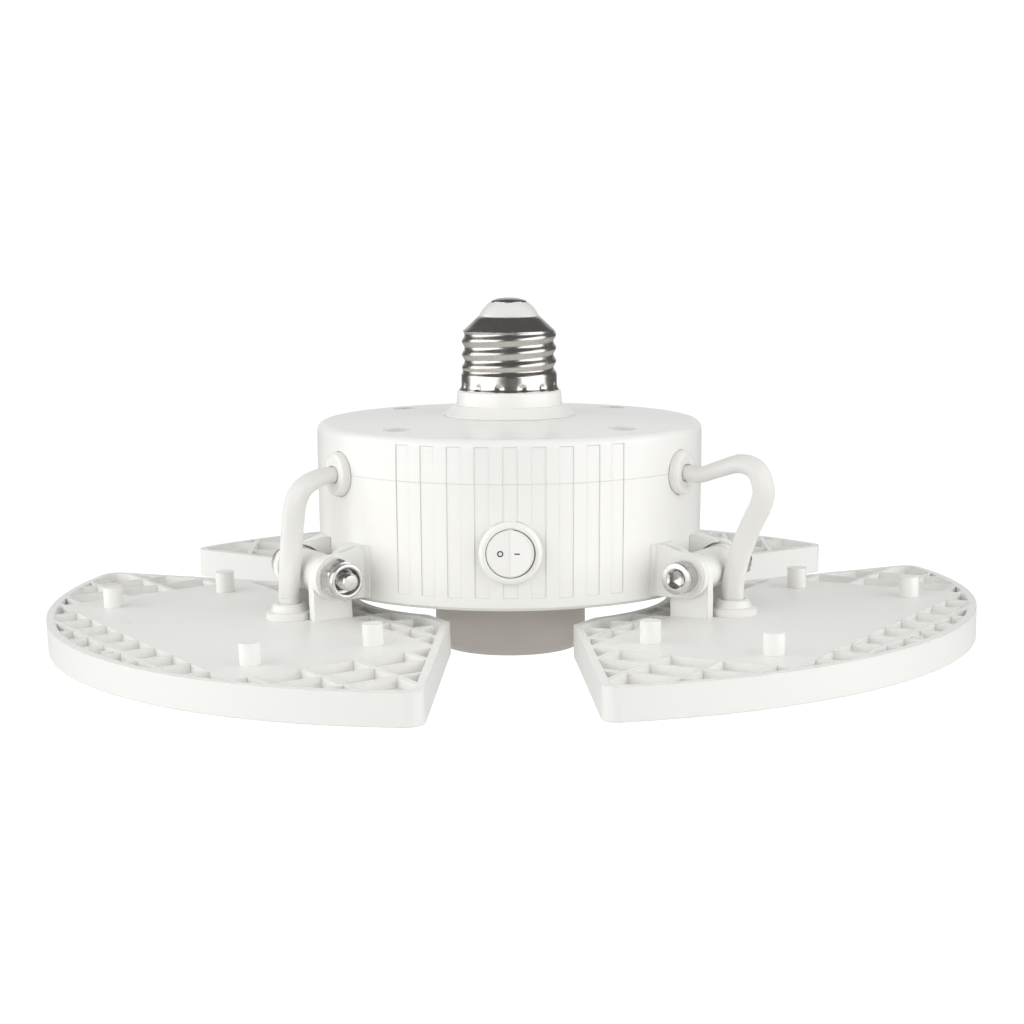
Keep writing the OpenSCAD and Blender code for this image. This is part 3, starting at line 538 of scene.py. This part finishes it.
INK_FOOT, INK_TOP = -0.02, 0.03  # where the ink starts in the face, and how proud it is
RING_X = -2.65
RING_INNER, RING_OUTER = 0.48, 0.82
DASH_X = 1.72
DASH_HALF = (0.69, 0.17)
DASH_LEAN = -14

ring_loops = []
for radius, lift in ((RING_INNER, INK_FOOT), (RING_INNER, INK_TOP), (RING_OUTER, INK_TOP),
                     (RING_OUTER, INK_FOOT)):
    ring_loops.append([on_rocker(RING_X + radius * math.cos(a), radius * math.sin(a), 0, lift)
                       for a in (math.tau * j / 48 for j in range(48))])
off_sign = as_piece(loft(ring_loops, closed=True), "off_sign", pad_ink)
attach(off_sign, "rocker")

dash_loops = []
for lift in (INK_FOOT, INK_TOP):
    dash_loops.append([on_rocker(DASH_X + DASH_HALF[0] * sx, DASH_HALF[1] * sz, DASH_LEAN, lift)
                       for sx, sz in ((-1, -1), (1, -1), (1, 1), (-1, 1))])
on_sign = as_piece(loft(dash_loops), "on_sign", pad_ink)
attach(on_sign, "rocker")


# ---------------------------------------------------------------------- centre light
# A slightly see-through cup under the drum covers a small round board of LEDs on a plain boss.
# Its grey colour is painted shade, standing for the shade it lies in under the drum.
# Painted shade: the cup's colour is darkened to grey for the shade under the drum, not its own colour.
painted_shade_cup = moulded("painted_shade_cup", (0.6, 0.56, 0.51), 0.34, 2200.0, 0.000003, 0.0004, Subsurface_Weight=0.1,
                   Subsurface_Radius=(0.004, 0.003, 0.0025))
phosphor = moulded("led_phosphor", (0.86, 0.7, 0.2), 0.3, 3000.0, 0.000004, 0.0001)
dress(painted_shade_cup, "centre_cup")
dress(white_abs, "centre_base")
dress(white_board, "centre_board")
dress(phosphor, "centre_leds", "leds_left", "leds_right", "leds_rear")


# ------------------------------------------------------------------ glands and grommets
# Each lead passes a snap-in gland in the drum's wall and a turned-over grommet in the
# panel. Both are white nylon with softer edges than the housings.
nylon = moulded("white_nylon", (0.875, 0.866, 0.838), 0.27, 2600.0, 0.000003, 0.00045)
dress(nylon, "glands", "grommet_left", "grommet_right", "grommet_rear")


# ----------------------------------------------------------------- hinge bolts and nuts
# A steel socket-head bolt with a knurled head pins each panel between the two ears of the
# drum. A lock nut with a round collar holds it, so that the panel stays where it is set.
bright_steel = plated("bright_steel", (0.70, 0.69, 0.67), 0.24, 0.000003, 0.00012)
GRIP = 13.7  # from the middle of the hinge to the bolt's head, and to the nut
BOLT_R = 2.4
BOLT_PITCH = 0.8
BOLT_PROUD = 1.9
THREAD_HALF = 0.24  # half the depth of the bolt's thread
KNURLS = 48
HEAD_H = 5.0
NUT_H = 6.3
NUT_FLATS = 9.5
TURN_POINTS = 96


def hexagon(flat, a):
    """Radius of a hexagon, this wide across its flats, at angle a"""
    return flat / 2 / math.cos((a + math.pi / 6) % (math.pi / 3) - math.pi / 6)


def turned(side, radius, along):
    """A loop of a turned or hexagonal part on a hinge's axis; along runs toward the head"""
    loop = []
    for j in range(TURN_POINTS):
        a = math.tau * j / TURN_POINTS
        r = radius(a)
        loop.append(from_station(side, (HINGE_R + r * math.cos(a), -along, HINGE_Z + r * math.sin(a))))
    return loop


def ring_of(r):
    """Round section of this radius"""
    return lambda a: r


def knurl(r):
    """Knurled section of the bolt's head, this far out at its ridges"""
    return lambda a: r - 0.09 + 0.09 * math.cos(a * KNURLS)


def thread(along):
    """Section of the bolt's rolled thread at this place"""
    return lambda a: BOLT_R - THREAD_HALF + THREAD_HALF * math.cos(math.tau * along / BOLT_PITCH - a)


bolts = bmesh.new()
nuts = bmesh.new()
for side in stations:
    end = -GRIP - NUT_H - BOLT_PROUD
    loops = [turned(side, ring_of(1.3), end), turned(side, ring_of(1.85), end + 0.03),
             turned(side, ring_of(2.2), end + 0.4)]
    loops += [turned(side, thread(end + 0.5 + 0.1 * k), end + 0.5 + 0.1 * k) for k in range(48)]
    loops += [turned(side, ring_of(BOLT_R), end + 5.4), turned(side, ring_of(BOLT_R), GRIP),
              turned(side, ring_of(4.0), GRIP), turned(side, ring_of(4.15), GRIP + 0.2),
              turned(side, knurl(4.25), GRIP + 0.45), turned(side, knurl(4.25), GRIP + HEAD_H - 0.75),
              turned(side, ring_of(4.2), GRIP + HEAD_H - 0.6),
              turned(side, ring_of(4.2), GRIP + HEAD_H - 0.25),
              turned(side, ring_of(4.1), GRIP + HEAD_H - 0.06), turned(side, ring_of(3.95), GRIP + HEAD_H),
              turned(side, ring_of(2.75), GRIP + HEAD_H), turned(side, ring_of(2.6), GRIP + HEAD_H - 0.12),
              turned(side, lambda a: hexagon(4.05, a), GRIP + HEAD_H - 0.7),
              turned(side, lambda a: hexagon(4.0, a), GRIP + HEAD_H - 2.6),
              turned(side, ring_of(0.15), GRIP + HEAD_H - 3.4)]
    part = loft(loops)
    copy = bpy.data.meshes.new("bolt")
    part.to_mesh(copy)
    part.free()
    bolts.from_mesh(copy)

    low, top = -GRIP, -GRIP - NUT_H + 1.5
    loops = [turned(side, ring_of(BOLT_R + 0.05), low), turned(side, ring_of(4.5), low)]
    for back, limit in ((0.0, 4.8), (0.45, 5.6)):
        loops.append(turned(side, lambda a, limit=limit: min(hexagon(NUT_FLATS, a), limit), low - back))
    for back, limit in ((0.3, 5.6), (0.0, 5.05)):
        loops.append(turned(side, lambda a, limit=limit: min(hexagon(NUT_FLATS, a), limit), top + back))
    loops += [turned(side, ring_of(r), top - rise) for r, rise in
              ((4.7, 0.02), (4.66, 0.5), (4.6, 1.15), (4.5, 1.42), (4.3, 1.5), (3.7, 1.5), (3.58, 1.44),
               (3.5, 1.25), (3.45, -1.4), (2.62, -1.6))]
    loops += [turned(side, ring_of(BOLT_R + 0.05), top + 1.9)]
    part = loft(loops, closed=True)
    part.to_mesh(copy)
    part.free()
    nuts.from_mesh(copy)
    bpy.data.meshes.remove(copy)
bolt_set = as_piece(bolts, "socket_bolts", bright_steel, 28)
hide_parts("hinge_bolts")
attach(bolt_set, "drum")
nut_set = as_piece(nuts, "lock_nuts", bright_steel, 28)
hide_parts("hinge_nuts")
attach(nut_set, "drum")


# ------------------------------------------------------------------------- panels
# Each panel is one white moulding: a rim, a lattice of ribs round a flat deck, studs and
# two hinge cheeks. An LED board and an opal lens close it from below.
panel_white = moulded("panel_white", (0.88, 0.874, 0.846), 0.38, 2400.0, 0.000003, 0.0004)
opal_lens = moulded("opal_lens", (0.83, 0.825, 0.805), 0.42, 1200.0, 0.00001, 0.0004, Subsurface_Weight=0.25,
                    Subsurface_Radius=(0.004, 0.004, 0.004))
DECK_Z = -4.3
PIN_R = 2.1
PIN_SINK = 0.02
PIN_RISE = 0.05
for side in stations:
    dress(panel_white, f"housing_{side}")
    dress(white_board, f"board_{side}")
    dress(opal_lens, f"diffuser_{side}")

    # Round witness marks that the ejector pins leave on the deck
    marks = bmesh.new()
    for u, v in ((106.5, 23.5), (106.5, -23.5), (62, 30), (62, -30), (84, 0)):
        mark = bmesh.ops.create_circle(marks, cap_ends=False, segments=40, radius=PIN_R)["verts"]
        bmesh.ops.translate(marks, verts=mark, vec=(u - HINGE_R, v, DECK_Z - HINGE_Z - PIN_SINK))
    rims = bmesh.ops.extrude_edge_only(marks, edges=list(marks.edges))["geom"]
    rims = [part for part in rims if isinstance(part, bmesh.types.BMVert)]
    bmesh.ops.translate(marks, verts=rims, vec=(0, 0, PIN_RISE))
    bmesh.ops.holes_fill(marks, edges=list(marks.edges), sides=0)
    turn, tilt = (math.radians(angle) for angle in stations[side])
    bmesh.ops.transform(
        marks, verts=marks.verts,
        matrix=Matrix.Translation((0, 0, -SEAT * MM)) @ Matrix.Rotation(turn, 4, "Z")
        @ Matrix.Translation((HINGE_R * MM, 0, HINGE_Z * MM)) @ Matrix.Rotation(-tilt, 4, "Y")
        @ Matrix.Scale(MM, 4))
    pins = as_piece(marks, f"pin_marks_{side}", panel_white)
    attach(pins, f"panel_{side}")
